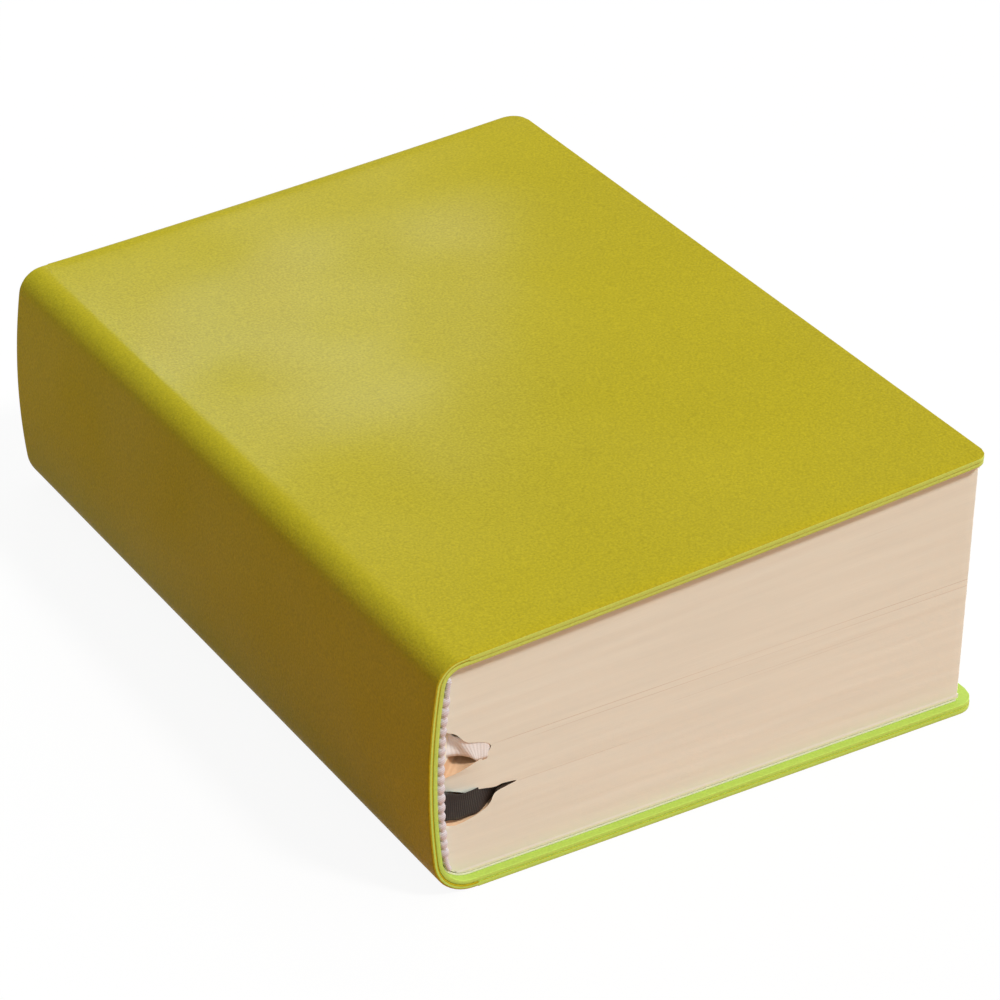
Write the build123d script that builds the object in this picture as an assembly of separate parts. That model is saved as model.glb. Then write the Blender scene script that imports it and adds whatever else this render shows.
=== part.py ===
from build123d import *
import math
import os

# A chunky page-a-day planner with a limp cover: a thick block of leaves with a rounded spine, bound
# between endleaves, wrapped in one laminated cover sheet that bends at two fold lines beside the spine.
# X runs from the spine to the fore edge, Y from the head to the foot, Z up from the lower cover.
# Every section is drawn with X = 0 at the spine of the leaves and Y = 0 at the head of the cover, and
# each finished piece is then moved so that the origin is under the middle of the whole planner.

# Leaves
page_width = 107.1
page_length = 148.2
block_at_spine = 41.35
block_at_fore_edge = 48.15
spine_bow = 1.7
spine_lean = 0.4
spine_radius_top = 2.65
spine_radius_bottom = 5.65
page_corner = 0.5
endleaf_thickness = 0.9

# Cover sheet, an outer skin laminated to a lining, with a paper pastedown inside each cover
skin_thickness = 0.95
lining_thickness = 0.85
pastedown_thickness = 0.35
pastedown_clearance = 0.2
square_at_head = 1.6
upper_overhang = 0.8
lower_overhang = 3.5
cover_corner = 4.0
fold_inset = 8.0
fold_gap = 0.1

# Headbands, and the lining glued on the spine of the leaves
bead_width = 2.3
bead_height = 1.1
bead_sides = 8
tape_thickness = 0.2
tape_length = 12.0
mull_thickness = 0.4
mull_margin = 17.0

# Ribbon markers, with the mouths where they part the leaves
ribbon_width = 5.5
ribbon_thickness = 0.25
ribbon_glued = 13.0
ribbon_turn = 0.3
glue_gap = 0.06
bead_clearance = 0.2
slot_clearance = 0.15
white_at_spine = 28.7
white_level = 26.4
white_foot_x = 24.0
brown_at_spine = 17.1
brown_level = 17.5
brown_foot_x = 33.0
mouth_depth = 12.0
mouth_lip = 0.35
tail_reach = 12.0
tail_drop = 7.0
tail_angle = 60.0

# Bends of each ribbon as it twists off the head of the leaves and in between them. A bend is its place,
# then its directions along and across the ribbon. Places are in ribbon widths: from the spine, behind
# the head of the leaves, and above the slot that the ribbon lies in from there on.
white_bends = [
    ((0.84, 0.18, 0.24), (1, 0.4, -0.5), (0, -0.7, 0.7)),
    ((1.25, 0.29, -0.07), (1, 0.3, -0.3), (-0.3, -0.2, 0.9)),
    ((1.82, 0.55, -0.07), (0.8, 0.6, 0), (-0.5, 0.5, 0.7)),
    ((2.29, 1.18, 0), (0.6, 0.8, 0), (-0.8, 0.5, 0.25)),
]
white_slot_start = 2.64
brown_bends = [
    ((1.09, -0.02, -0.22), (1, 0.1, -0.1), (0, 0.4, 0.9)),
    ((1.71, 0.13, -0.22), (1, 0.4, 0.1), (-0.1, 0.6, 0.8)),
    ((2.25, 0.55, -0.07), (0.8, 0.6, 0.1), (-0.4, 0.7, 0.5)),
    ((2.73, 1.27, 0), (0.5, 0.85, 0), (-0.85, 0.5, 0.15)),
]
brown_slot_start = 3.09

# Sides of each mouth on the head of the leaves, from the spine to near its tip, and then the tip. They are
# in ribbon widths too: from the spine, and above the slot.
white_mouth_below = [(-0.55, -0.91), (1.22, -0.51)]
white_mouth_above = [(-0.55, 1.29), (1.0, 0.44)]
white_mouth_tip = 2.0
brown_mouth_below = [(-0.55, -0.82), (1.45, -0.76)]
brown_mouth_above = [(-0.55, 0.62), (1.09, 0.27)]
brown_mouth_tip = 2.8

# Tail of each ribbon past the foot of the leaves: the share of its reach that still runs straight, and two
# later steps as shares of its reach, its drop and its angle
tail_straight = 0.1
tail_steps = [(0.5, 0.12, 0.5), (0.8, 0.5, 1)]

# Derived places
liner_gap = pastedown_thickness + pastedown_clearance
wrap = liner_gap + lining_thickness + skin_thickness
block_bottom = wrap
cover_length = page_length + 2 * square_at_head
head_face = square_at_head
foot_face = head_face + page_length
rise = math.atan((block_at_fore_edge - block_at_spine) / (page_width - spine_bow))
whole_width = wrap + page_width + max(upper_overhang, lower_overhang)
whole_length = max(cover_length, foot_face + tail_reach)
origin = Vector(whole_width / 2 - wrap, whole_length / 2, 0)
margin = block_at_spine


def block_top(x):
    """Height of the upper side of the bound leaves at x."""
    return block_bottom + block_at_spine + (x - spine_bow) * math.tan(rise)


top_left = (spine_bow - spine_lean / 2, block_top(spine_bow - spine_lean / 2))
bottom_left = (spine_bow + spine_lean / 2, block_bottom)
spine_middle = (0, (top_left[1] + bottom_left[1]) / 2)


def spine_face(z):
    """X of the rounded spine of the leaves at a height."""
    half = (top_left[1] - bottom_left[1]) / 2
    radius = (half**2 + spine_bow**2) / (2 * spine_bow)
    height = z - spine_middle[1]
    return radius - math.sqrt(radius**2 - height**2) - spine_lean / 2 * height / half


def block_profile():
    """Side view of the bound leaves, run on past the fore edge so that its offsets stay parallel there."""
    far = page_width + margin
    outline = Wire(
        [
            Line((far, 0, block_bottom), (bottom_left[0], 0, bottom_left[1])).edge(),
            ThreePointArc(
                (bottom_left[0], 0, bottom_left[1]),
                (spine_middle[0], 0, spine_middle[1]),
                (top_left[0], 0, top_left[1]),
            ).edge(),
            Line((top_left[0], 0, top_left[1]), (far, 0, block_top(far))).edge(),
            Line((far, 0, block_top(far)), (far, 0, block_bottom)).edge(),
        ]
    )
    face = Face(outline)
    lower, upper = face.vertices().sort_by(Axis.X)[:2].sort_by(Axis.Z)
    face = face.fillet_2d(spine_radius_bottom, [lower])
    upper = face.vertices().sort_by(lambda v: (v.center() - Vector(top_left[0], 0, top_left[1])).length)[0]
    return face.fillet_2d(spine_radius_top, [upper])


profile = block_profile()


def prism(face, low, high):
    """A face of the side view drawn out from one y to another."""
    return Pos(0, low, 0) * Solid.extrude(face, Vector(0, high - low, 0))


def layer(inner, outer, low, high):
    """The wall between two offsets of the block's profile, from one y to another."""
    inside = offset(profile, inner).face() if inner else profile
    return prism(offset(profile, outer).face(), low, high) - prism(inside, low, high)


def slab(x_low, x_high, z_low, z_high):
    """A box over the whole length of the cover and beyond."""
    box = Box(x_high - x_low, 2 * cover_length, z_high - z_low)
    return Pos((x_low + x_high) / 2, cover_length / 2, (z_low + z_high) / 2) * box


def plan(fore_edge, low, high, corner):
    """A tall block whose two fore edge corners are rounded, which trims a sheet to its outline."""
    width = fore_edge + margin
    tall = 4 * block_at_fore_edge
    box = Pos(fore_edge - width / 2, (low + high) / 2, 0) * Box(width, high - low, tall)
    return fillet(box.edges().filter_by(Axis.Z).sort_by(Axis.X)[-2:], corner)


def tilted(x, z, solid):
    """Places a solid drawn about the origin at (x, z), turned to the slope of the upper cover."""
    return Pos(x, 0, z) * Rot(0, -math.degrees(rise), 0) * solid


# Regions on the fore edge side of the two fold lines, which lie in the outer surface of the sheet
half_height = block_at_spine / 2
fold_start = fold_gap / 2
fold_end = page_width + 2 * margin
upper_fold_z = block_top(fold_inset) + wrap / math.cos(rise)
upper_side = tilted(fold_inset, upper_fold_z, slab(fold_start, fold_end, -half_height, half_height))
lower_side = slab(fold_inset + fold_start, fold_end, -half_height, half_height)
spine_side = (
    slab(-margin, fold_inset + margin, -margin, 2 * block_at_fore_edge)
    - tilted(fold_inset, upper_fold_z, slab(-fold_start, fold_end, -half_height, half_height))
    - slab(fold_inset - fold_start, fold_end, -half_height, half_height)
)

# The bound leaves
leaves_trim = plan(page_width, head_face, foot_face, page_corner)
bound = prism(profile, head_face, foot_face) & leaves_trim
lower_section = slab(-margin, fold_end, 0, block_bottom + endleaf_thickness)
upper_section = tilted(
    0,
    block_top(0),
    slab(-margin, fold_end, -endleaf_thickness * math.cos(rise), margin),
)
lower_endleaves = bound & lower_section
upper_endleaves = bound & upper_section
page_block = bound - lower_section - upper_section

# The cover sheet and the pastedowns inside it
upper_trim = plan(page_width + upper_overhang, 0, cover_length, cover_corner)
lower_trim = plan(page_width + lower_overhang, 0, cover_length, cover_corner)
skin = layer(liner_gap + lining_thickness, wrap, 0, cover_length)
lining = layer(liner_gap, liner_gap + lining_thickness, 0, cover_length)
pastedown = layer(pastedown_clearance, liner_gap, head_face, foot_face)

# Headbands, each a sewn bead that follows the rounded spine with a tape glued under it
under_cover = offset(profile, liner_gap - glue_gap).face()
over_ribbon = ribbon_thickness + 2 * glue_gap


def headband(face_y, outward):
    """The bead stands proud of the leaves at face_y, and the tape runs back along their spine."""
    middle_y = face_y + outward * (over_ribbon + glue_gap + bead_height / 2)
    set_in = bead_width / 2 + 2 * glue_gap - liner_gap
    heights = (block_bottom + bead_width, spine_middle[1], top_left[1] - bead_width / 2)
    path = ThreePointArc(*[(spine_face(z) + set_in, middle_y, z) for z in heights]).edge()
    turns = [math.tau * (side + 0.5) / bead_sides for side in range(bead_sides)]
    across = bead_width / 2 / math.cos(math.pi / bead_sides)
    up = bead_height / 2 / math.cos(math.pi / bead_sides)
    corners = [(across * math.cos(turn), up * math.sin(turn)) for turn in turns]
    section = Plane(origin=path @ 0, x_dir=(1, 0, 0), z_dir=path % 0) * Polygon(*corners)
    bead = sweep(section, path=path) & prism(under_cover, middle_y - bead_height, middle_y + bead_height)
    ends = sorted((middle_y, face_y - outward * tape_length))
    tape_inner = offset(profile, over_ribbon).face()
    tape_outer = offset(profile, over_ribbon + tape_thickness - glue_gap).face()
    tape = prism(tape_outer, *ends) - prism(tape_inner, *ends)
    tape = tape & slab(-margin, spine_bow, block_bottom + spine_radius_bottom, top_left[1] - spine_radius_top)
    return bead + tape


head_band = headband(head_face, -1)
tail_band = headband(foot_face, 1)
spine_lining = layer(glue_gap, glue_gap + mull_thickness, mull_margin, cover_length - mull_margin)
spine_lining = spine_lining & slab(
    -margin, spine_bow, block_bottom + spine_radius_bottom, top_left[1] - spine_radius_top
)


def through(sections):
    """A closed solid through sections that each have the same number of corners, in the same order."""
    faces = [Face(Wire.make_polygon(section, close=True)) for section in (sections[0], sections[-1])]
    for first, second in zip(sections, sections[1:]):
        for a, b, c, d in zip(first, first[1:] + first[:1], second[1:] + second[:1], second):
            faces.append(Face(Wire.make_polygon([a, b, c], close=True)))
            faces.append(Face(Wire.make_polygon([a, c, d], close=True)))
    return Solid(Shell(faces))


def ribbon(stations, clearance):
    """A strip through stations of centre, direction along and direction across, grown for its slot."""
    half_width = ribbon_width / 2 + clearance
    half_thickness = ribbon_thickness / 2 + clearance
    corners = [(-1, -1), (1, -1), (1, 1), (-1, 1)]
    sections = []
    for centre, along, across in stations:
        plane = Plane(origin=centre, x_dir=across, z_dir=along)
        sections.append([plane.from_local_coords((i * half_width, j * half_thickness, 0)) for i, j in corners])
    return through([[Vector(corner) for corner in section] for section in sections])


over_head = head_face - glue_gap - ribbon_thickness / 2
past_bead = bead_width + bead_clearance


def at_spine(height):
    """The glued stretch on the spine, and the turn round its corner on to the head of the leaves."""
    outside = spine_face(height) - glue_gap - ribbon_thickness / 2
    lean = (spine_face(height + 1) - spine_face(height - 1)) / 2
    inset = ribbon_turn * (1 - math.cos(math.pi / 4))
    return [
        ((outside, head_face + ribbon_glued, height), (0, -1, 0), (lean, 0, 1)),
        ((outside, over_head + ribbon_turn, height), (0, -1, 0), (lean, 0, 1)),
        ((outside + inset, over_head + inset, height), (1, -1, 0), (lean, lean, 2)),
        ((outside + ribbon_turn, over_head, height), (1, 0, 0), (0, 0, 1)),
    ]


def twist(height, level, bends):
    """The stretch that leaves the head of the leaves past the bead and twists in between them."""
    stations = [((past_bead, over_head, height), (1, 0, 0), (0, 0, 1))]
    for (x, depth, above), along, across in bends:
        centre = (x * ribbon_width, head_face + depth * ribbon_width, level + above * ribbon_width)
        stations.append((centre, along, across))
    return stations


def in_leaves(level, slot_start, foot_x):
    """The flat stretch between two leaves, from the mouth to the foot of the leaves."""
    start_x = slot_start * ribbon_width
    slope = math.atan2(foot_x - start_x, foot_face - head_face - mouth_depth)
    along = (math.sin(slope), math.cos(slope), 0)
    across = (-math.cos(slope), math.sin(slope), 0)
    return [
        ((start_x, head_face + mouth_depth, level), along, across),
        ((foot_x, foot_face + tail_straight * tail_reach, level), along, across),
    ]


def tail(level, foot_x):
    """The end that hangs out at the foot of the leaves, where it bends down under its own weight."""
    angle = math.radians(tail_angle)
    cut = ribbon_thickness / 2 * math.sin(angle) / tail_reach
    stations = []
    for reach, drop, turn in tail_steps + [(1 - cut, 1, 1)]:
        down = (0, math.cos(turn * angle), -math.sin(turn * angle))
        centre = (foot_x, foot_face + reach * tail_reach, level - drop * tail_drop)
        stations.append((centre, down, (-1, 0, 0)))
    return stations


def mouth(level, slot_start, tip, lower, upper):
    """The gap that a ribbon opens between the leaves, from an outline on the head down to its flat slot."""
    half = ribbon_width / 2 + slot_clearance
    thin = ribbon_thickness / 2 + slot_clearance
    start_x = slot_start * ribbon_width
    front = head_face - 2 * glue_gap
    back = head_face + mouth_depth
    tip_x = tip * ribbon_width
    lower_side = [(x * ribbon_width, level + above * ribbon_width) for x, above in lower]
    upper_side = [(x * ribbon_width, level + above * ribbon_width) for x, above in upper]
    outline = lower_side + [(tip_x, level - mouth_lip), (tip_x, level + mouth_lip)] + upper_side[::-1]
    opening = [Vector(x, front, z) for x, z in outline]
    across = [start_x - half, start_x, start_x + half]
    closing = [Vector(x, back, level - thin) for x in across]
    closing += [Vector(x, back, level + thin) for x in across[::-1]]
    return through([opening, closing])


white_route = twist(white_at_spine, white_level, white_bends)
white_route += in_leaves(white_level, white_slot_start, white_foot_x)
white_ribbon = ribbon(at_spine(white_at_spine) + white_route + tail(white_level, white_foot_x), 0)
white_mouth = mouth(white_level, white_slot_start, white_mouth_tip, white_mouth_below, white_mouth_above)
brown_route = twist(brown_at_spine, brown_level, brown_bends)
brown_route += in_leaves(brown_level, brown_slot_start, brown_foot_x)
brown_ribbon = ribbon(at_spine(brown_at_spine) + brown_route + tail(brown_level, brown_foot_x), 0)
brown_mouth = mouth(brown_level, brown_slot_start, brown_mouth_tip, brown_mouth_below, brown_mouth_above)
page_block = page_block - white_mouth - ribbon(white_route, slot_clearance)
page_block = page_block - brown_mouth - ribbon(brown_route, slot_clearance)

pieces = {
    "page_block": page_block,
    "upper_endleaves": upper_endleaves,
    "lower_endleaves": lower_endleaves,
    "spine_lining": spine_lining,
    "head_band": head_band,
    "tail_band": tail_band,
    "white_ribbon": white_ribbon,
    "brown_ribbon": brown_ribbon,
    "spine_cover": skin & spine_side,
    "spine_cover_lining": lining & spine_side,
    "upper_cover": skin & upper_side & upper_trim,
    "upper_cover_lining": lining & upper_side & upper_trim,
    "upper_pastedown": pastedown & upper_side & leaves_trim,
    "lower_cover": skin & lower_side & lower_trim,
    "lower_cover_lining": lining & lower_side & lower_trim,
    "lower_pastedown": pastedown & lower_side & leaves_trim,
}

os.makedirs("parts", exist_ok=True)
for name, piece in pieces.items():
    export_step(Pos(-origin.X, -origin.Y, 0) * piece, f"parts/{name}.step")
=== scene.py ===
import bpy
import bmesh
import math
from mathutils import Matrix, Vector, geometry, noise


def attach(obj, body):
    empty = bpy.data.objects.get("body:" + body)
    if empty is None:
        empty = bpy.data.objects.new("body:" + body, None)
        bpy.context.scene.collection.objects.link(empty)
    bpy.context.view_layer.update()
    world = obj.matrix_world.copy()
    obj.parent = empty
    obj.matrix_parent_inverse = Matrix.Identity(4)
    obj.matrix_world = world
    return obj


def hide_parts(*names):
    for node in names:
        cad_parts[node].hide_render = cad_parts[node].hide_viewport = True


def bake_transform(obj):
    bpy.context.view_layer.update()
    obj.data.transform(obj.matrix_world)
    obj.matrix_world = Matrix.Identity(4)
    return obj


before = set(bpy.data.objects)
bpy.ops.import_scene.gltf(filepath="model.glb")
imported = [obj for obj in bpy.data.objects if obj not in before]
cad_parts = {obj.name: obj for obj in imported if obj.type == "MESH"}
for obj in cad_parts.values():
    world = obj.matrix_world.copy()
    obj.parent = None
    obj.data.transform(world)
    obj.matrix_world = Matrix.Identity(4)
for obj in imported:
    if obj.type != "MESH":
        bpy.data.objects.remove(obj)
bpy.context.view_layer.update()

# The camera stands above the head of the planner, towards its spine, about 0.73 m away.
# A long lens keeps the far end nearly as large as the near one.
camera_data = bpy.data.cameras.new("camera")
camera_data.lens = 142.83
camera_data.sensor_width = 36.0
camera_data.clip_start = 0.01
camera_data.clip_end = 20.0
camera = bpy.data.objects.new("camera", camera_data)
right = Vector((0.85184, -0.523505, 0.017635))
up = Vector((0.260979, 0.453371, 0.852259))
backward = Vector((-0.454157, -0.721386, 0.522823))
turned = Matrix((right, up, backward)).transposed().to_4x4()
camera.matrix_world = Matrix.Translation((-0.323655, -0.52501, 0.39564)) @ turned
bpy.context.scene.collection.objects.link(camera)
bpy.context.scene.camera = camera
bpy.context.scene.view_settings.view_transform = "Standard"

# A pale floor that sends a warm light back up at the planner, in a plain soft room that is a little
# darker on the spine's side. One broad lamp stands over the head end, to the right, and a weak cool one
# beside the far end of the spine. A panel far behind the foot lays a haze on the cover.
floor_size = 6.0
plain_white = (1.0, 1.0, 1.0, 1.0)
floor_warmth = (0.61, 0.235, 0.08, 1.0)
shadow_share = 0.08
room_level = 0.46
room_lean = 0.95
room_colour = (1.0, 0.985, 0.965, 1.0)
key_strength = 2.05
key_colour = (1.0, 0.97, 0.94)
key_from = Vector((0.31, -0.50, 0.81))
key_width = math.radians(9)
panel_place = Vector((0.60, 1.40, 1.017))
panel_size = (0.28, 0.095)
panel_strength = 2.7
panel_colour = (0.82, 1.0, 1.0)
fill_place = Vector((-0.27, 0.16, 0.13))
fill_target = Vector((-0.054, 0.04, 0.02))
fill_strength = 0.10
fill_colour = (0.47, 1.0, 1.1)
fill_size = 0.06


def shader(name, roughness, specular):
    """A new material with its node tree and its shader, with the shader's roughness and specular level."""
    material = bpy.data.materials.new(name)
    material.use_nodes = True
    surface = material.node_tree.nodes["Principled BSDF"]
    surface.inputs["Roughness"].default_value = roughness
    surface.inputs["Specular IOR Level"].default_value = specular
    return material, material.node_tree, surface


def add(tree, kind, inputs=None, **settings):
    """Adds a node with its settings, and gives its inputs their values or links."""
    node = tree.nodes.new(kind)
    for key, value in settings.items():
        setattr(node, key, value)
    for key, value in (inputs or {}).items():
        if isinstance(value, bpy.types.NodeSocket):
            tree.links.new(value, node.inputs[key])
        else:
            node.inputs[key].default_value = value
    return node


def maths(tree, operation, *values):
    """A Math node on two or three values or sockets."""
    return add(tree, "ShaderNodeMath", dict(enumerate(values)), operation=operation).outputs[0]


def mixed(tree, share, first, second):
    """The colour between two colours at a share."""
    return add(tree, "ShaderNodeMix", {0: share, 6: first, 7: second}, data_type="RGBA").outputs[2]


def backdrop_rays(tree):
    """1 for the rays that show the background: from the camera, and by reflection and through glass."""
    path = add(tree, "ShaderNodeLightPath").outputs
    seen = maths(tree, "MAXIMUM", path["Is Camera Ray"], path["Is Glossy Ray"])
    return maths(tree, "MAXIMUM", seen, path["Is Transmission Ray"])


floor_material, tree, surface = shader("pale floor", 1.0, 0.0)
shown = backdrop_rays(tree)
tree.links.new(mixed(tree, shown, floor_warmth, plain_white), surface.inputs["Base Color"])
glow = add(tree, "ShaderNodeEmission", {"Color": plain_white, "Strength": 1.0}).outputs[0]
unshaded = maths(tree, "MULTIPLY", shown, 1.0 - shadow_share)
floor_mix = add(tree, "ShaderNodeMixShader", {0: unshaded, 1: surface.outputs[0], 2: glow}).outputs[0]
tree.links.new(floor_mix, tree.nodes["Material Output"].inputs["Surface"])
floor_mesh = bpy.data.meshes.new("floor")
half = floor_size / 2
floor_corners = [(-half, -half, 0), (half, -half, 0), (half, half, 0), (-half, half, 0)]
floor_mesh.from_pydata(floor_corners, [], [(0, 1, 2, 3)])
floor_mesh.materials.append(floor_material)
floor = bpy.data.objects.new("floor", floor_mesh)
bpy.context.scene.collection.objects.link(floor)

world = bpy.data.worlds.new("room")
bpy.context.scene.world = world
world.use_nodes = True
tree = world.node_tree
heading = add(tree, "ShaderNodeTexCoord").outputs["Generated"]
sideways = add(tree, "ShaderNodeSeparateXYZ", {0: heading}).outputs["X"]
level = maths(tree, "MULTIPLY_ADD", sideways, room_level * room_lean, room_level)
room = add(tree, "ShaderNodeBackground", {"Color": room_colour, "Strength": level}).outputs[0]
backdrop = add(tree, "ShaderNodeBackground", {"Color": plain_white, "Strength": 1.0}).outputs[0]
room_mix = add(tree, "ShaderNodeMixShader", {0: backdrop_rays(tree), 1: room, 2: backdrop}).outputs[0]
tree.links.new(room_mix, tree.nodes["World Output"].inputs["Surface"])


def lamp(name, kind, strength, colour, facing, place=None):
    """A lamp whose light comes from a direction, at a place where its kind needs one."""
    data = bpy.data.lights.new(name, kind)
    data.energy = strength
    data.color = colour
    made = bpy.data.objects.new(name, data)
    made.rotation_euler = facing.to_track_quat("Z", "Y").to_euler()
    made.location = place or (0, 0, 0)
    bpy.context.scene.collection.objects.link(made)
    return made


key = lamp("key", "SUN", key_strength, key_colour, key_from)
key.data.angle = key_width
panel = lamp("panel", "AREA", panel_strength, panel_colour, panel_place, panel_place)
panel.data.shape = "RECTANGLE"
panel.data.size, panel.data.size_y = panel_size
panel.visible_camera = False
fill = lamp("fill", "AREA", fill_strength, fill_colour, fill_place - fill_target, fill_place)
fill.data.size = fill_size
fill.visible_camera = False
fill.visible_glossy = False

# The cover is one limp sheet of laminated imitation leather, wrapped round the spine and cut square at
# the head and foot: a pebbled olive-lime skin on a smooth lime lining, glued together all over.
# It bends at a fold on each side of the spine, and is made as three pieces that meet at a seam beside each
# fold.
middle_x, middle_y = 54.125, 80.9
leaf_width = 107.1
leaf_length = 148.2
cover_length = 151.4
square = 1.6
block_bottom = 2.35
height_at_spine = 41.35
spine_bow = 1.7
spine_lean = 0.4
foot_radius = 5.65
head_radius = 2.65
rise = math.atan(6.8 / 105.4)
skin_offsets = (1.40, 2.35)
lining_offsets = (0.55, 1.372)
upper_fore_edge = leaf_width + 0.8
lower_fore_edge = leaf_width + 3.5
upper_corners = (2.3, 4.0)
lower_corners = (4.0, 4.0)
upper_seam = 5.2
lower_seam = 7.45
edge_clearance = 0.35
sharp_angle = math.radians(40)
skin_rounding = 0.3
lining_rounding = 0.14
skin_colour = (0.482, 0.404, 0.017)
lime = (0.45, 0.63, 0.10)
# Painted light: the cut edges go from lime_edge up high to the greener low_lime_edge near the table, a tint
# painted in place of the different light low down.
lime_edge = (0.60, 0.75, 0.14)
low_lime_edge = (0.53, 0.79, 0.14)
painted_tint_heights = (0.01, 0.044)
laminate_gloss = (0.03, 0.075)
laminate_roughness = 0.14
lining_inset = 0.12
droop = 0.45


def in_frame(x, y, z):
    """A point of the frame, from mm counted from the leaves' spine, the cover's head and the table."""
    return Vector((x - middle_x, y - middle_y, z)) / 1000


def top_of_leaves(x):
    return block_bottom + height_at_spine + (x - spine_bow) * math.tan(rise)


def side_view():
    """The side view of the leaves from the lower fore edge round the spine to the upper one.

    Each step is a point and the direction away from the leaves there, as (x, z, along x, along z).
    """
    foot_x = spine_bow + spine_lean / 2
    head_x = spine_bow - spine_lean / 2
    foot = Vector((foot_x, block_bottom))
    head = Vector((head_x, top_of_leaves(head_x)))
    middle = Vector((0.0, (foot.y + head.y) / 2))
    a, b = foot - middle, head - middle
    cross = 2 * (a.x * b.y - a.y * b.x)
    toward_x = b.y * a.length_squared - a.y * b.length_squared
    toward_z = a.x * b.length_squared - b.x * a.length_squared
    centre = middle + Vector((toward_x, toward_z)) / cross
    radius = (centre - middle).length
    steps = []
    flat = [4.0 + 0.5 * i for i in range(20)] + [14.0 + 2.5 * i for i in range(42)]
    along = Vector((math.cos(rise), math.sin(rise)))
    outward = Vector((-math.sin(rise), math.cos(rise)))
    corners = []
    for direction, normal, through, corner in (
        (Vector((1.0, 0.0)), Vector((0.0, -1.0)), foot, foot_radius),
        (along, outward, head, head_radius),
    ):
        depth = normal.dot(centre) - (normal.dot(through) - corner)
        reach = math.sqrt((radius - corner) ** 2 - depth**2)
        corners.append(normal * (normal.dot(through) - corner) + direction * (direction.dot(centre) - reach))
    low, high = corners
    low_turn = math.atan2(low.y - centre.y, low.x - centre.x) % math.tau
    high_turn = math.atan2(high.y - centre.y, high.x - centre.x) % math.tau

    def arc(middle_point, size, first, last, count):
        for i in range(count + 1):
            turn = first + (last - first) * i / count
            n = Vector((math.cos(turn), math.sin(turn)))
            p = middle_point + n * size
            steps.append((p.x, p.y, n.x, n.y))

    for x in reversed([x for x in flat if x > low.x + 0.2]):
        steps.append((x, block_bottom, 0.0, -1.0))
    arc(low, foot_radius, math.tau * 3 / 4, low_turn, 12)
    arc(centre, radius, low_turn, high_turn, 40)
    arc(high, head_radius, high_turn, math.pi / 2 + rise, 10)
    for x in [x for x in flat if x > high.x + 0.4]:
        steps.append((x, top_of_leaves(x), outward.x, outward.y))
    kept = steps[:1]
    for step in steps[1:]:
        if math.hypot(step[0] - kept[-1][0], step[1] - kept[-1][1]) > 0.01:
            kept.append(step)
    return kept


around = side_view()


def run(first_x, last_x, upper):
    """The steps of one cover between two distances from the spine, close together at both ends."""
    n = (-math.sin(rise), math.cos(rise)) if upper else (0.0, -1.0)
    height = top_of_leaves if upper else (lambda x: block_bottom)
    turns = [1 - math.sin(math.radians(t)) for t in range(0, 91, 9)]
    bends = [last_x - size * turn for size in upper_corners for turn in turns]
    places = {first_x, *[first_x + 0.5 * i for i in range(1, 19)], *range(15, 105, 3), *bends}
    kept = [x for x in sorted(places) if first_x <= x <= last_x - edge_clearance]
    return [(x, height(x), *n) for x in kept + [last_x]]


def new_piece(name, mesh, body, slot, *nodes):
    """Links a finished mesh as a piece that stands for nodes. A piece to be blended has no body here."""
    piece = bpy.data.objects.new(name, mesh)
    bpy.context.scene.collection.objects.link(piece)
    if body:
        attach(piece, body)
    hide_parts(*nodes)
    return piece


def sagging(x, y):
    """How far the limp overhang of the upper cover hangs down at head and foot, most halfway along."""
    over = max(0.0, 1 - min(y, cover_length - y) / square)
    along = max(0.0, min(1.0, (x - upper_seam) / (upper_fore_edge - upper_seam)))
    return droop * over**2 * math.sin(math.pi * along) ** 0.7


def sheet_mesh(name, steps, offsets, ends, fore_edge, corners, bevel, materials, upper=False):
    """A closed sheet over the steps, between two offsets, with round corners at the fore edge.

    Its faces take the outside's material, the cut edge's and the inside's. Its cut edges are bevelled.
    """
    inner, outer = offsets
    low, high = ends
    rows = [0.0, 0.35, 1.2, 3.0, 6.0]
    length = high - low
    inner_rows = [rows[-1] + (length - 2 * rows[-1]) * i / 46 for i in range(1, 46)]
    shares = [row / length for row in rows + inner_rows + [length - r for r in reversed(rows)]]
    form = bmesh.new()
    soft = form.edges.layers.float.new("bevel_weight_edge")
    grids = []
    for depth in (outer, inner):
        grid = []
        for x, z, nx, nz in steps:
            cuts = [0.0, 0.0]
            for end, corner in enumerate(corners):
                if fore_edge and x > fore_edge - corner:
                    cuts[end] = corner - math.sqrt(max(0.0, corner**2 - (x - fore_edge + corner) ** 2))
            first, last = low + cuts[0], high - cuts[1]
            row = []
            for s in shares:
                y = first + (last - first) * s
                sag = sagging(x, y) if upper else 0.0
                row.append(in_frame(x + nx * depth, y, z + nz * depth - sag))
            grid.append([form.verts.new(point) for point in row])
        grids.append(grid)
    top, under = grids
    count, last_row = len(steps), len(shares) - 1

    def face(corner_points, index):
        made = form.faces.new(corner_points)
        made.material_index = index
        made.smooth = True

    for i in range(count - 1):
        for j in range(last_row):
            face((top[i][j], top[i][j + 1], top[i + 1][j + 1], top[i + 1][j]), 0)
            face((under[i][j], under[i + 1][j], under[i + 1][j + 1], under[i][j + 1]), 2)
        face((top[i][0], top[i + 1][0], under[i + 1][0], under[i][0]), 1)
        face((top[i][last_row], under[i][last_row], under[i + 1][last_row], top[i + 1][last_row]), 1)
    for i in (0, count - 1):
        for j in range(last_row):
            face((top[i][j], top[i][j + 1], under[i][j + 1], under[i][j]), 1)
    bmesh.ops.recalc_face_normals(form, faces=form.faces)
    for grid in grids:
        for i in range(count - 1):
            for j in (0, last_row):
                form.edges.get((grid[i][j], grid[i + 1][j]))[soft] = 1.0
        for j in range(last_row if fore_edge else 0):
            form.edges.get((grid[count - 1][j], grid[count - 1][j + 1]))[soft] = 1.0
    mesh = bpy.data.meshes.new(name)
    form.to_mesh(mesh)
    form.free()
    for material in materials:
        mesh.materials.append(material)
    return rounded(name, mesh, bevel)


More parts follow.
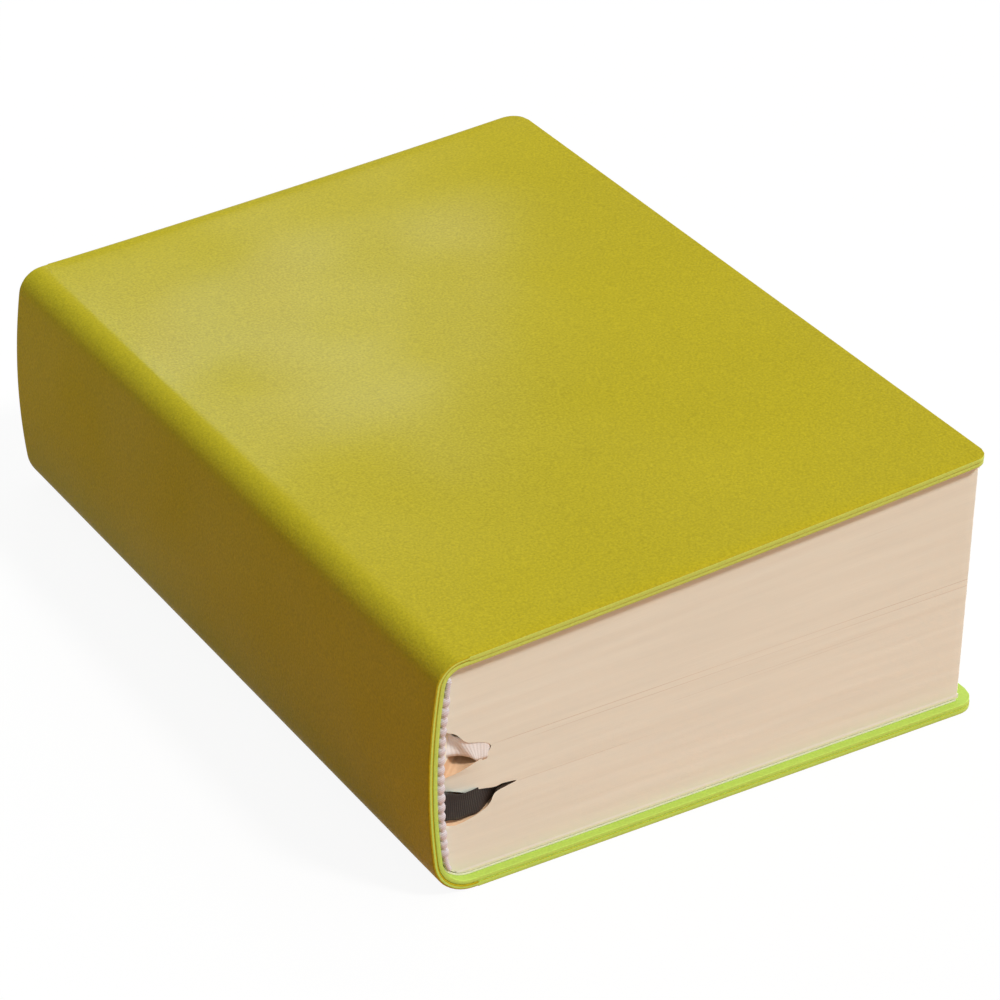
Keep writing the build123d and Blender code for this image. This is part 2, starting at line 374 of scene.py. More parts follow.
def rounded(name, mesh, bevel):
    """The mesh with its marked edges bevelled, as a plain mesh."""
    holder = bpy.data.objects.new(name + " making", mesh)
    bpy.context.scene.collection.objects.link(holder)
    edges = holder.modifiers.new("edges", "BEVEL")
    edges.limit_method = "WEIGHT"
    edges.width = bevel / 1000
    edges.segments = 2
    edges.material = 0  # the bevel takes the outside's material
    made = bpy.data.meshes.new_from_object(holder.evaluated_get(bpy.context.evaluated_depsgraph_get()))
    bpy.data.objects.remove(holder)
    made.name = name
    made.set_sharp_from_angle(angle=sharp_angle)
    return made


def group(name, inputs, outputs):
    """A shader node group with named value inputs and named outputs."""
    made = bpy.data.node_groups.new(name, "ShaderNodeTree")
    for label, value in inputs.items():
        socket = made.interface.new_socket(label, in_out="INPUT", socket_type="NodeSocketFloat")
        socket.default_value = value
    for label in outputs:
        made.interface.new_socket(label, in_out="OUTPUT", socket_type="NodeSocketFloat")
    return made, made.nodes.new("NodeGroupInput").outputs, made.nodes.new("NodeGroupOutput").inputs


def place(tree, made, values):
    """Puts a node group in a material with its own values, and gives its outputs."""
    node = tree.nodes.new("ShaderNodeGroup")
    node.node_tree = made
    for label, value in values.items():
        node.inputs[label].default_value = value
    return node.outputs


def clouds(tree, at, scale, detail):
    """Soft noise about one half."""
    return add(tree, "ShaderNodeTexNoise", {"Vector": at, "Scale": scale, "Detail": detail}).outputs["Fac"]


def ramp(tree, value, *limits):
    """A value carried from one range to another: low, high, low, high. Without the second, to 0 to 1."""
    return add(tree, "ShaderNodeMapRange", {"Value": value, **dict(enumerate(limits, 1))}).outputs[0]


def toned(tree, colour, tone, contrast):
    """A colour that a tone about one half makes darker and lighter."""
    scale = ramp(tree, tone, 0.25, 0.75, 1.0 - contrast, 1.0 + contrast)
    return add(tree, "ShaderNodeVectorMath", {0: colour, "Scale": scale}, operation="SCALE").outputs[0]


def pressed(tree, surface, height, strength, distance=0.0001):
    """Presses a height pattern into a surface."""
    bump = add(tree, "ShaderNodeBump", {"Height": height, "Strength": strength, "Distance": distance})
    tree.links.new(bump.outputs[0], surface.inputs["Normal"])


# Pebble grain: small rounded cells pressed into the skin, with specks and faint drifts of tone.
grain, given, result = group("pebble grain", {"Cells": 2500.0, "Drift": 20.0}, ("Height", "Tone"))
spot = add(grain, "ShaderNodeTexCoord").outputs["Object"]
wander = add(grain, "ShaderNodeTexNoise", {"Vector": spot, "Scale": 900.0, "Detail": 2.0}).outputs["Color"]
shifting = add(grain, "ShaderNodeMix", {0: 0.0005, 6: spot, 7: wander}, data_type="RGBA", blend_type="ADD")
cell_inputs = {"Vector": shifting.outputs[2], "Scale": given["Cells"], "Smoothness": 0.7}
cells = add(grain, "ShaderNodeTexVoronoi", cell_inputs, feature="SMOOTH_F1").outputs["Distance"]
fine = clouds(grain, spot, 5200.0, 1.0)
domes = ramp(grain, cells, 0.0, 0.75, 1.0, 0.0)
drift = maths(grain, "MULTIPLY", clouds(grain, spot, given["Drift"], 2.0), 0.2)
speck = clouds(grain, spot, 2300.0, 2.0)
grain.links.new(maths(grain, "MULTIPLY_ADD", fine, 0.35, domes), result["Height"])
grain.links.new(maths(grain, "MULTIPLY_ADD", speck, 0.8, drift), result["Tone"])

skin_material, tree, surface = shader("pebbled olive skin", 0.5, 0.015)
pebbles = place(tree, grain, {"Cells": 2500.0, "Drift": 20.0})
tree.links.new(toned(tree, skin_colour, pebbles["Tone"], 0.20), surface.inputs["Base Color"])
pressed(tree, surface, pebbles["Height"], 0.35)
handled = clouds(tree, add(tree, "ShaderNodeTexCoord").outputs["Object"], 32.0, 1.5)
tree.links.new(ramp(tree, handled, 0.35, 0.65, *laminate_gloss), surface.inputs["Coat Weight"])
surface.inputs["Coat Roughness"].default_value = laminate_roughness


def lime_material(name, low_colour, high_colour):
    """The smooth lime plastic of the lining and of the cut edges, slightly cloudy, toned by height; on the
    cut edges this tone is painted light, greener near the table.
    """
    material, tree, surface = shader(name, 0.5, 0.2)
    spot = add(tree, "ShaderNodeTexCoord").outputs["Object"]
    above_table = add(tree, "ShaderNodeSeparateXYZ", {0: spot}).outputs[2]
    colour = mixed(tree, ramp(tree, above_table, *painted_tint_heights), (*low_colour, 1.0), (*high_colour, 1.0))
    pebbles = place(tree, grain, {"Cells": 900.0, "Drift": 160.0})
    tree.links.new(toned(tree, colour, pebbles["Tone"], 0.10), surface.inputs["Base Color"])
    pressed(tree, surface, pebbles["Height"], 0.12)
    return material


lining_material = lime_material("lime lining", lime, lime)
# The cut edges carry the painted tint of light: greener near the table, yellower higher up.
edge_material = lime_material("lime cut edge", low_lime_edge, lime_edge)


def cover_blend(piece):
    """Bakes the placing of a cover or pastedown into its mesh."""
    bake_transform(piece)


skin_faces = (skin_material, edge_material, edge_material)
lining_faces = (edge_material, edge_material, lining_material)
for node in ("lower_cover", "spine_cover", "upper_cover"):
    upper = node == "upper_cover"
    if node == "spine_cover":
        steps = [s for s in around if s[0] < (lower_seam if s[1] < 20 else upper_seam)]
        steps = [(lower_seam, block_bottom, 0.0, -1.0)] + steps
        steps += [(upper_seam, top_of_leaves(upper_seam), -math.sin(rise), math.cos(rise))]
        fore_edge, corners = None, ()
    elif upper:
        steps, fore_edge, corners = run(upper_seam, upper_fore_edge, True), upper_fore_edge, upper_corners
    else:
        steps, fore_edge, corners = run(lower_seam, lower_fore_edge, False), lower_fore_edge, lower_corners
    for stands_for, slot, faces, offsets, inset, bevel in (
        (node, "cover_skin", skin_faces, skin_offsets, 0.0, skin_rounding),
        (node + "_lining", "cover_lining", lining_faces, lining_offsets, lining_inset, lining_rounding),
    ):
        name = stands_for + "_sheet"
        shape = (steps, offsets, (inset, cover_length - inset), fore_edge, corners, bevel)
        mesh = sheet_mesh(stands_for + " sheet", *shape, faces, upper)
        if node == "spine_cover":
            new_piece(name, mesh, "block", slot, stands_for)
        else:
            cover_blend(new_piece(name, mesh, None, slot, stands_for))

# The leaves are several hundred sheets of warm white paper, cut flush, with only slight steps between
# groups of them. Two mouths open beside the spine where the ribbons pass between leaves, and the leaves
# stay a little parted along the ribbons.
endleaf = 0.9
leaf_count = 330
fan = 3.8
page_corner = 0.5
last_flat = leaf_width - page_corner
foot_side = square + leaf_length
step_relief = 0.035
drawn_in = 0.9
drawn_reach = 9.0
drawn_heights = (17.5, 24.0)
white_level = 26.4
brown_level = 17.5
white_slot = 14.5
brown_slot = 17.0
white_lips = [
    (1.2, 23.2), (2.7, 22.6), (4.6, 22.95), (6.7, 23.7), (8.4, 24.3), (9.2, 24.62), (9.9, 25.3),
    (10.3, 26.2), (9.7, 26.95), (8.3, 27.6), (6.6, 28.1), (5.4, 28.75), (4.4, 29.9), (3.4, 30.85),
    (2.25, 31.4), (1.2, 31.5),
]
brown_lips = [
    (1.0, 14.2), (2.0, 13.3), (3.0, 12.85), (4.1, 12.7), (5.6, 12.85), (7.0, 13.15), (8.5, 13.66),
    (9.8, 14.3), (10.5, 15.15), (11.1, 16.35), (11.9, 16.8), (13.4, 17.1), (15.4, 17.5), (14.0, 17.8),
    (12.6, 17.9), (11.1, 17.75), (8.5, 18.3), (7.3, 18.35), (5.8, 18.45), (4.0, 19.1), (2.4, 19.6),
    (1.0, 19.8),
]
mouth_depth = 12.0
ledge = 3.6
slot_half = 3.0
slot_gap = 0.2
# Painted shadow: walls of the brown mouth beyond this distance from the spine are coloured near black in
# place of the deep shadow where the mouth closes.
painted_shadow_from = 10.4
paper_colour = (0.830, 0.865, 0.755)
# Painted shade: the lower walls and the back of each mouth take this warm darker paper colour in place of the
# shade deep between the leaves.
painted_shade_colour = (0.74, 0.50, 0.31)
painted_shadow_colour = (0.10, 0.07, 0.05)


def leaf_height(x, share):
    """Height at x of the leaf at a share of the block's thickness. The upper leaves fan out most."""
    low = block_bottom + endleaf
    high = block_bottom + height_at_spine - endleaf
    return low + (high - low) * share + (x - spine_bow) * math.tan(rise) * share**fan


def leaf_share(x, z):
    """The share of the leaf at a place, by halving."""
    low, high = 0.0, 1.0
    for _ in range(26):
        middle = (low + high) / 2
        if leaf_height(x, middle) < z:
            low = middle
        else:
            high = middle
    return (low + high) / 2


def spine_x(z):
    """Where the rounded spine of the leaves is at a height."""
    for first, second in zip(around, around[1:]):
        if first[1] <= z <= second[1] and second[1] > first[1]:
            return first[0] + (second[0] - first[0]) * (z - first[1]) / (second[1] - first[1])
    return spine_bow


def relief(u, share):
    """How far the cut edge of a leaf stands out at a place round the block, in mm."""
    wide = noise.noise(Vector((u / 60, share * 26, 3.0)))
    narrow = noise.noise(Vector((u / 25, share * 75, 8.0)))
    return step_relief * (wide + 0.6 * narrow)


def draw_in(x, share):
    """The leaves between the two mouths are drawn in a little beside the spine."""
    height = leaf_height(x, share)
    held = max(0.0, min(1.0, (height - drawn_heights[0]) / 2, (drawn_heights[1] - height) / 2))
    return drawn_in * held * max(0.0, 1 - x / drawn_reach) ** 1.3


def head_y(x, share):
    return square - relief(x, share) + draw_in(x, share)


def between(values, t):
    """A place on the smooth curve through four values, between the middle two."""
    a, b, c, d = values
    return (b * 2 + (c - a) * t + (a * 2 - b * 5 + c * 4 - d) * t**2 + (b * 3 - a - c * 3 + d) * t**3) / 2


def smooth_loop(points, steps):
    """A closed smooth curve through the points."""
    made = []
    for i in range(len(points)):
        values = [Vector(points[(i + k) % len(points)]) for k in (-1, 0, 1, 2)]
        made += [between(values, step / steps) for step in range(steps)]
    return made


def inside_loop(point, loop):
    inside = False
    for a, b in zip(loop, loop[1:] + loop[:1]):
        if (a.y > point.y) != (b.y > point.y):
            if point.x < (b.x - a.x) * (point.y - a.y) / (b.y - a.y) + a.x:
                inside = not inside
    return inside


levels = [i / 90 for i in range(91)]
columns = [3.0 * i for i in range(1, 36)]
block = bmesh.new()
leaf_uv = block.loops.layers.uv.new("leaves")
place_on_leaf = block.verts.layers.float_vector.new("place on leaf")


def leaf_point(x, y, z, u, share):
    point = block.verts.new(in_frame(x, y, z))
    point[place_on_leaf] = Vector((u / 10, share * leaf_count, 0.0))
    return point


spine_edge = [(spine_x(leaf_height(0.8, t)), t) for t in levels]
rim = [Vector((x, leaf_height(x, t))) for x, t in spine_edge]
rim += [Vector((x, leaf_height(x, 1.0))) for x in columns + [last_flat] if x > 2]
rim += [Vector((last_flat, leaf_height(last_flat, t))) for t in reversed(levels[:-1])]
rim += [Vector((x, leaf_height(x, 0.0))) for x in reversed(columns) if x > 4]
mouths = [
    (white_level, white_slot, smooth_loop(white_lips, 4)),
    (brown_level, brown_slot, smooth_loop(brown_lips, 4)),
]
lips_of_mouths = [lips for level, slot_x, lips in mouths]
points, borders = [], []
for loop in [rim] + lips_of_mouths:
    first = len(points)
    points += loop
    borders += [(first + i, first + (i + 1) % len(loop)) for i in range(len(loop))]
for x in [1.0 + 0.7 * i for i in range(22)] + [c for c in columns if c > 16.5]:
    for t in levels[1:-1]:
        point = Vector((x, leaf_height(x, t)))
        near = min((point - p).length for lips in lips_of_mouths for p in lips) if x < 18 else 1.0
        hidden = any(inside_loop(point, lips) for lips in lips_of_mouths)
        if x - spine_x(point.y) > 0.5 and near > 0.22 and not hidden:
            points.append(point)
flat_points, _, flat_faces = geometry.delaunay_2d_cdt(points, borders, [], 1, 1e-5)[:3]
head = []
for point in flat_points:
    share = leaf_share(point.x, point.y)
    head.append(leaf_point(point.x, head_y(point.x, share), point.y, point.x, share))
for corners in flat_faces:
    middle = sum((flat_points[i] for i in corners), Vector((0.0, 0.0))) / len(corners)
    if not any(inside_loop(middle, lips) for lips in lips_of_mouths):
        block.faces.new([head[i] for i in corners])

# The other sides of the leaves: the fore edge between its two corners, the foot, and the rounded spine
quarter = [math.radians(18 * i) for i in range(1, 5)]
walls = []
for share in levels:
    ring = []

    def put(x, y, across, along, u):
        out = relief(u, share)
        ring.append(leaf_point(x + across * out, y + along * out, leaf_height(x, share), u, share))

    put(last_flat, square, 0, -1, last_flat)
    for turn in quarter:
        side, front = math.sin(turn), math.cos(turn)
        x, y = last_flat + page_corner * side, square + page_corner * (1 - front)
        put(x, y, side, -front, last_flat + page_corner * turn)
    for i in range(51):
        y = square + page_corner + (leaf_length - 2 * page_corner) * i / 50
        put(leaf_width, y, 1, 0, leaf_width + y)
    for turn in quarter:
        side, front = math.cos(turn), math.sin(turn)
        x, y = last_flat + page_corner * side, foot_side - page_corner * (1 - front)
        put(x, y, side, front, leaf_width + foot_side)
    back_x = spine_x(leaf_height(0.8, share))
    for x in [last_flat] + [c for c in reversed(columns) if c > 4] + [back_x]:
        put(x, foot_side, 0, 1, leaf_width + foot_side + last_flat - x)
    for i in range(1, 12):
        y = foot_side - leaf_length * i / 12
        ring.append(leaf_point(back_x, y, leaf_height(back_x, share), y, share))
    ring.append(leaf_point(back_x, head_y(back_x, share), leaf_height(back_x, share), back_x, share))
    walls.append(ring)
for low_ring, high_ring in zip(walls, walls[1:]):
    for i in range(len(low_ring) - 1):
        block.faces.new((low_ring[i], low_ring[i + 1], high_ring[i + 1], high_ring[i]))
for ring, end in ((walls[0], 0.0), (walls[-1], 1.0)):
    rim_points = [p for p, f in zip(head, flat_points) if abs(leaf_share(f.x, f.y) - end) < 1e-5]
    rim_points.sort(key=lambda p: p.co.x)
    block.faces.new(ring + rim_points[1:-1])

# Inside each mouth the leaves close in on the flat slot that holds the ribbon, with one ledge on the way.
# Each step is how deep it lies and how far the lower leaves rise there.
mouth_steps = [
    (0.0, 0.0), (0.35, 0.0), (1.0, 0.0), (2.2, 0.0), (ledge, 0.0), (ledge + 0.05, 0.4), (6.0, 0.4),
    (9.0, 0.2), (mouth_depth, 0.0),
]
for level, slot_x, lips in mouths:
    mouth_x = (min(p.x for p in lips) + max(p.x for p in lips)) / 2
    half_width = (max(p.x for p in lips) - min(p.x for p in lips)) / 2
    rings = []
    for depth, step in mouth_steps:
        eased = 1 - (1 - depth / mouth_depth) ** 1.5
        ring = []
        for point in lips:
            share = leaf_share(point.x, point.y)
            above = point.y > level
            across = slot_half * (point.x - mouth_x) / half_width
            slot = Vector((slot_x + across, level + (slot_gap if above else -slot_gap)))
            at = point.lerp(slot, eased)
            height = at.y if above or depth == 0.0 else min(at.y + step, level - slot_gap)
            front = head_y(point.x, share)
            y = front if depth == 0.0 else max(front + 0.1, square + depth)
            ring.append(leaf_point(at.x, y, height, depth, share))
        rings.append(ring)
    for outer_ring, inner_ring in zip(rings, rings[1:]):
        for i in range(len(lips)):
            k = (i + 1) % len(lips)
            made = block.faces.new((outer_ring[i], outer_ring[k], inner_ring[k], inner_ring[i]))
            # Painted shade and shadow: the lower walls of each mouth take the paper with painted shade, the
            # walls near the closing tip of the brown mouth the near-black painted shadow, and the upper walls
            # plain paper.
            dark = level == brown_level and lips[i].x > painted_shadow_from
            made.material_index = 2 if dark else 1 if lips[i].y < level else 0
    # The back of each mouth takes the painted shade as well.
    block.faces.new(rings[-1]).material_index = 1
bmesh.ops.remove_doubles(block, verts=block.verts, dist=2e-6)
bmesh.ops.recalc_face_normals(block, faces=block.faces)
for made in block.faces:
    made.smooth = True
    for corner in made.loops:
        corner[leaf_uv].uv = corner.vert[place_on_leaf].xy
block_mesh = bpy.data.meshes.new("leaves")
block.to_mesh(block_mesh)
block.free()
block_mesh.set_sharp_from_angle(angle=sharp_angle)

# The cut edges of the leaves show as very fine lines. Where leaves stay parted, the gaps are painted as thin
# dark lines of shade over a slight pressed groove.
# A parting is the share of its leaf, where it starts and ends round the block in mm, and how dark its painted
# shade is.
foot_start = leaf_width + foot_side
partings = [
    (0.5850, 10.0, 300.0, 0.7), (0.5560, 17.0, 180.0, 0.55), (0.4870, 45.0, 96.0, 0.35),
    (0.3570, 13.0, 44.0, 0.6), (0.4720, 60.0, 90.0, 0.3), (0.9100, 82.0, 98.0, 0.3),
    (0.5850, foot_start + 70.0, foot_start + 98.0, 0.7), (0.3570, foot_start + 62.0, foot_start + 96.0, 0.7),
]
edges, given, result = group("leaf edges", {"Fine": 0.9, "Parted": 0.55}, ("Line", "Gap"))
drawn = add(edges, "ShaderNodeUVMap", uv_map="leaves").outputs[0]
round_block = add(edges, "ShaderNodeSeparateXYZ", {0: drawn}).outputs
line_inputs = {"Vector": drawn, "Scale": given["Fine"], "Detail": 2.0, "Roughness": 0.6}
lines = maths(edges, "MULTIPLY", add(edges, "ShaderNodeTexNoise", line_inputs).outputs["Fac"], 0.4)
stretched = add(edges, "ShaderNodeVectorMath", {0: drawn, 1: (0.3, 0.06, 0.0)}, operation="MULTIPLY")
slow = clouds(edges, stretched.outputs[0], 1.0, 2.0)
edges.links.new(maths(edges, "MULTIPLY_ADD", slow, 0.6, lines), result["Line"])
waver = clouds(edges, drawn, 0.35, 1.0)
parted = None
for leaf, first, last, dark in partings:
    off = maths(edges, "ABSOLUTE", maths(edges, "SUBTRACT", round_block[1], leaf * leaf_count))
    line = ramp(edges, off, given["Parted"], 0.0, 0.0, dark)
    start = ramp(edges, round_block[0], first / 10, first / 10 + 0.4)
    stop = ramp(edges, round_block[0], last / 10, last / 10 - 1.5)
    line = maths(edges, "MULTIPLY", line, maths(edges, "MULTIPLY", start, stop))
    parted = line if parted is None else maths(edges, "MAXIMUM", parted, line)
steady = ramp(edges, waver, 0.35, 0.55, 0.35, 1.0)
edges.links.new(maths(edges, "MULTIPLY", parted, steady), result["Gap"])


def paper_material(name, colour, contrast, gap_shade_colour):
    """Uncoated paper, whose cut edges show as lines, and whose parted gaps carry painted shade."""
    material, tree, surface = shader(name, 0.85, 0.15)
    cut = place(tree, edges, {"Fine": 0.9, "Parted": 0.55})
    lined = toned(tree, colour, cut["Line"], contrast)
    with_gaps = mixed(tree, cut["Gap"], lined, (*gap_shade_colour, 1.0))
    tree.links.new(with_gaps, surface.inputs["Base Color"])
    pressed(tree, surface, maths(tree, "SUBTRACT", cut["Line"], cut["Gap"]), 0.2)
    return material


leaf_material = paper_material("leaf paper", paper_colour, 0.045, (0.50, 0.38, 0.26))
painted_shade_material = paper_material("leaf paper with painted shade", painted_shade_colour, 0.10, (0.30, 0.20, 0.12))
painted_shadow_material = paper_material("leaf paper painted as shadow in the closing mouth", painted_shadow_colour, 0.10, (0.05, 0.04, 0.03))
for material in (leaf_material, painted_shade_material, painted_shadow_material):
    block_mesh.materials.append(material)
new_piece("leaves", block_mesh, "block", "leaf_paper", "page_block")

# The endleaves lie above and below the leaves, and the pastedowns are glued inside the covers. They are
# of a stiffer cream paper, and whiter in the few sheets next to the leaves.
pastedown_offsets = (0.2, 0.535)
pastedown_rounding = 0.04
leaves_thick = 41
cream_colour = (0.83, 0.83, 0.655)
white_colour = (0.90, 0.89, 0.87)

end_material = paper_material("endleaf paper", cream_colour, 0.03, (0.5, 0.45, 0.25))
tree = end_material.node_tree
sheet_place = add(tree, "ShaderNodeUVMap", uv_map="leaves").outputs[0]
number = add(tree, "ShaderNodeSeparateXYZ", {0: sheet_place}).outputs[1]
paper_shade = tree.nodes["Principled BSDF"].inputs["Base Color"]
two_papers = mixed(tree, ramp(tree, number, 3.0, 4.0), paper_shade.links[0].from_socket, (*white_colour, 1.0))
tree.links.new(two_papers, paper_shade)


def prism(name, outline, uv_depth):
    """A solid of one side view over the length of the leaves, with its cut edges drawn on it."""
    form = bmesh.new()
    uv = form.loops.layers.uv.new("leaves")
    ends = [[form.verts.new(in_frame(x, y, z)) for x, z in outline] for y in (square, foot_side)]
    form.faces.new(ends[0])
    form.faces.new(ends[1])
    for i in range(len(outline)):
        k = (i + 1) % len(outline)
        form.faces.new((ends[0][i], ends[0][k], ends[1][k], ends[1][i]))
    bmesh.ops.recalc_face_normals(form, faces=form.faces)
    for made in form.faces:
        for corner in made.loops:
            x, y, z = corner.vert.co * 1000
            corner[uv].uv = ((x + y) / 10, uv_depth(x + middle_x, z) * leaf_count / leaves_thick)
    mesh = bpy.data.meshes.new(name)
    form.to_mesh(mesh)
    form.free()
    mesh.materials.append(end_material)
    return mesh


def layer_outline(upper):
    """The side view of the endleaves: the outside of the leaves there, and a straight line inside."""
    inner = (lambda x: leaf_height(x, 1.0)) if upper else (lambda x: leaf_height(x, 0.0))
    base = top_of_leaves if upper else (lambda x: block_bottom)
    beyond = 1 if upper else -1
    outside = sorted((x, z) for x, z, *_ in around if x < 14 and (z - inner(x)) * beyond > 0.02)
    start = outside[0][0] - 0.05
    fore_edge = [(leaf_width, base(leaf_width)), (leaf_width, inner(leaf_width))]
    return [(start, inner(start))] + outside + fore_edge


for node, upper in (("upper_endleaves", True), ("lower_endleaves", False)):
    limit = top_of_leaves if upper else (lambda x: block_bottom)
    mesh = prism(node.replace("_", " "), layer_outline(upper), lambda x, z: abs(z - limit(x)))
    new_piece(node + "_sheets", mesh, "block", "endleaf_paper", node)
    node = node.replace("endleaves", "pastedown")
    if upper:
        bend = [s for s in around if s[1] > 42 and s[0] < upper_seam - 0.1]
        steps = bend + run(upper_seam, leaf_width, True)
    else:
        bend = [s for s in around if s[1] < 6 and s[0] < lower_seam - 0.05]
        steps = bend[::-1] + run(lower_seam, leaf_width, False)
    ends, corners = (square, foot_side), (page_corner, page_corner)
    shape = (steps, pastedown_offsets, ends, leaf_width, corners, pastedown_rounding)
    mesh = sheet_mesh(node.replace("_", " "), *shape, [end_material] * 3)
    pastedown = new_piece(node + "_sheet", mesh, None, "endleaf_paper", node)
    cover_blend(pastedown)

# A strip of open-weave cotton cloth is glued on the rounded spine of the leaves and holds them together.
# Only its colour is given here: the strip keeps the shape it has in the frame.
cloth_colour = (0.76, 0.74, 0.68)

cloth_material, tree, surface = shader("spine cloth", 0.9, 0.5)
spot = add(tree, "ShaderNodeTexCoord").outputs["Object"]
thread_inputs = {"Vector": spot, "Scale": 400.0, "Distortion": 0.6}
warp = add(tree, "ShaderNodeTexWave", thread_inputs, bands_direction="Y").outputs["Fac"]
weft = add(tree, "ShaderNodeTexWave", thread_inputs, bands_direction="Z").outputs["Fac"]
crossed = maths(tree, "MULTIPLY", maths(tree, "ADD", warp, weft), 0.5)
tree.links.new(toned(tree, cloth_colour, crossed, 0.12), surface.inputs["Base Color"])
pressed(tree, surface, crossed, 0.5, 0.0002)
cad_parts["spine_lining"].data.materials.clear()
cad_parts["spine_lining"].data.materials.append(cloth_material)

# A headband of pale grey-lilac thread covers the joint of leaves and cover at the head and at the foot.
# Each is a cord wound with thread in even lumps, on a tape that is glued along the spine.
thread_colour = (0.70, 0.69, 0.74)
band_low = 5.2
band_high = 42.2
stitch_count = 21
stitch_half = (0.86, 0.63, 1.15)
core_radius = 0.5
band_inset = 0.22
band_out = 0.92
tape_near = 0.37
tape_far = 0.50
tape_reach = 12.0
tape_low = 8.2
tape_length = 32.6

thread_material, tree, surface = shader("headband thread", 0.6, 0.3)
spot = add(tree, "ShaderNodeTexCoord").outputs["Object"]
leaned = add(tree, "ShaderNodeMapping", {"Vector": spot, "Rotation": (0.5, 0.25, 0.0)}).outputs[0]
strand_inputs = {"Vector": leaned, "Scale": 900.0, "Distortion": 1.5}
strands = add(tree, "ShaderNodeTexWave", strand_inputs, bands_direction="Z").outputs["Fac"]
tree.links.new(toned(tree, thread_colour, strands, 0.07), surface.inputs["Base Color"])
pressed(tree, surface, strands, 0.4)

winding = bpy.data.node_groups.new("wound headband", "GeometryNodeTree")
winding.interface.new_socket("Path", in_out="INPUT", socket_type="NodeSocketGeometry")
kinds = {
    "Stitches": "Int", "Half size": "Vector", "Core radius": "Float", "Seed": "Int", "Thread": "Material",
}
settings = {}
for label, kind in kinds.items():
    socket = winding.interface.new_socket(label, in_out="INPUT", socket_type="NodeSocket" + kind)
    settings[label] = socket.identifier
winding.interface.new_socket("Headband", in_out="OUTPUT", socket_type="NodeSocketGeometry")
given = winding.nodes.new("NodeGroupInput").outputs
result = winding.nodes.new("NodeGroupOutput").inputs
path = add(winding, "GeometryNodeMeshToCurve", {"Mesh": given["Path"]}).outputs[0]
stops = add(winding, "GeometryNodeResampleCurve", {"Curve": path, "Count": given["Stitches"]}).outputs[0]
lump = add(winding, "GeometryNodeMeshUVSphere", {"Segments": 16, "Rings": 12, "Radius": 0.001}).outputs[0]
tangent = add(winding, "GeometryNodeInputTangent").outputs[0]
aimed = add(winding, "FunctionNodeAlignRotationToVector", {"Vector": tangent}, axis="Z").outputs[0]
vary_inputs = {2: 0.93, 3: 1.07, "Seed": given["Seed"]}
vary = add(winding, "FunctionNodeRandomValue", vary_inputs, data_type="FLOAT").outputs[1]
along = add(winding, "GeometryNodeSplineParameter").outputs[0]
nearer_end = maths(winding, "MINIMUM", along, maths(winding, "SUBTRACT", 1.0, along))
full = maths(winding, "MINIMUM", maths(winding, "MULTIPLY", nearer_end, 9.0), 1.0)
amount = maths(winding, "MULTIPLY", maths(winding, "MULTIPLY_ADD", full, 0.45, 0.55), vary)
grown = add(winding, "ShaderNodeVectorMath", {0: given["Half size"], "Scale": amount}, operation="SCALE")
lump_inputs = {"Points": stops, "Instance": lump, "Rotation": aimed, "Scale": grown.outputs[0]}
lumps = add(winding, "GeometryNodeInstanceOnPoints", lump_inputs).outputs[0]
tube_inputs = {"Resolution": 12, "Radius": given["Core radius"]}
tube = add(winding, "GeometryNodeCurvePrimitiveCircle", tube_inputs).outputs[0]
core_inputs = {"Curve": path, "Profile Curve": tube, "Fill Caps": True}
core = add(winding, "GeometryNodeCurveToMesh", core_inputs).outputs[0]
joined = winding.nodes.new("GeometryNodeJoinGeometry")
winding.links.new(core, joined.inputs[0])
winding.links.new(lumps, joined.inputs[0])
solid = add(winding, "GeometryNodeRealizeInstances", {"Geometry": joined.outputs[0]}).outputs[0]
smooth = add(winding, "GeometryNodeSetShadeSmooth", {"Geometry": solid}).outputs[0]
finished = add(winding, "GeometryNodeSetMaterial", {"Geometry": smooth, "Material": given["Thread"]})
winding.links.new(finished.outputs[0], result[0])

for node, face_y, outward, seed in (("head_band", square, -1, 4), ("tail_band", foot_side, 1, 9)):
    heights = [band_low + (band_high - band_low) * i / 60 for i in range(61)]
    line = [in_frame(spine_x(z) + band_inset, face_y + outward * band_out, z) for z in heights]
    path_mesh = bpy.data.meshes.new("path")
    path_mesh.from_pydata(line, [(i, i + 1) for i in range(60)], [])
    maker = bpy.data.objects.new("headband making", path_mesh)
    bpy.context.scene.collection.objects.link(maker)
    winder = maker.modifiers.new("winding", "NODES")
    winder.node_group = winding
    winder[settings["Stitches"]] = stitch_count
    winder[settings["Half size"]] = stitch_half
    winder[settings["Core radius"]] = core_radius / 1000
    winder[settings["Seed"]] = seed
    winder[settings["Thread"]] = thread_material
    wound_mesh = bpy.data.meshes.new_from_object(maker.evaluated_get(bpy.context.evaluated_depsgraph_get()))
    bpy.data.objects.remove(maker)
    band = bmesh.new()
    band.from_mesh(wound_mesh)
    tape_end = face_y - outward * tape_reach
    tape_section = [(tape_near, face_y), (tape_near, tape_end), (tape_far, tape_end), (tape_far, face_y)]
    rings = []
    for i in range(13):
        z = tape_low + tape_length * i / 12
        rings.append([band.verts.new(in_frame(spine_x(z) - off, y, z)) for off, y in tape_section])
    tape = [band.faces.new(rings[0]), band.faces.new(rings[-1])]
    for low_ring, high_ring in zip(rings, rings[1:]):
        for i in range(4):
            k = (i + 1) % 4
            tape.append(band.faces.new((low_ring[i], low_ring[k], high_ring[k], high_ring[i])))
    bmesh.ops.recalc_face_normals(band, faces=tape)
    band.to_mesh(wound_mesh)
    band.free()
    wound_mesh.name = node.replace("_", " ")
    new_piece(node + "_wound", wound_mesh, "block", "headband_thread", node)

# Two satin ribbon markers, cream white and near-black brown, are glued on the spine, pass over the head
# under the headband, twist into their mouths, lie flat between the leaves and hang out a little at the foot.
ribbon_half = 2.75
ribbon_half_thick = 0.125
thin_selvedge = 0.35
glue_gap = 0.185
white_satin_colour = (0.87, 0.90, 0.90)
brown_satin_colour = (0.030, 0.021, 0.016)
tail_path = [(1.2, 0.0), (6.0, 0.84), (9.6, 3.5), (11.85, 6.9)]

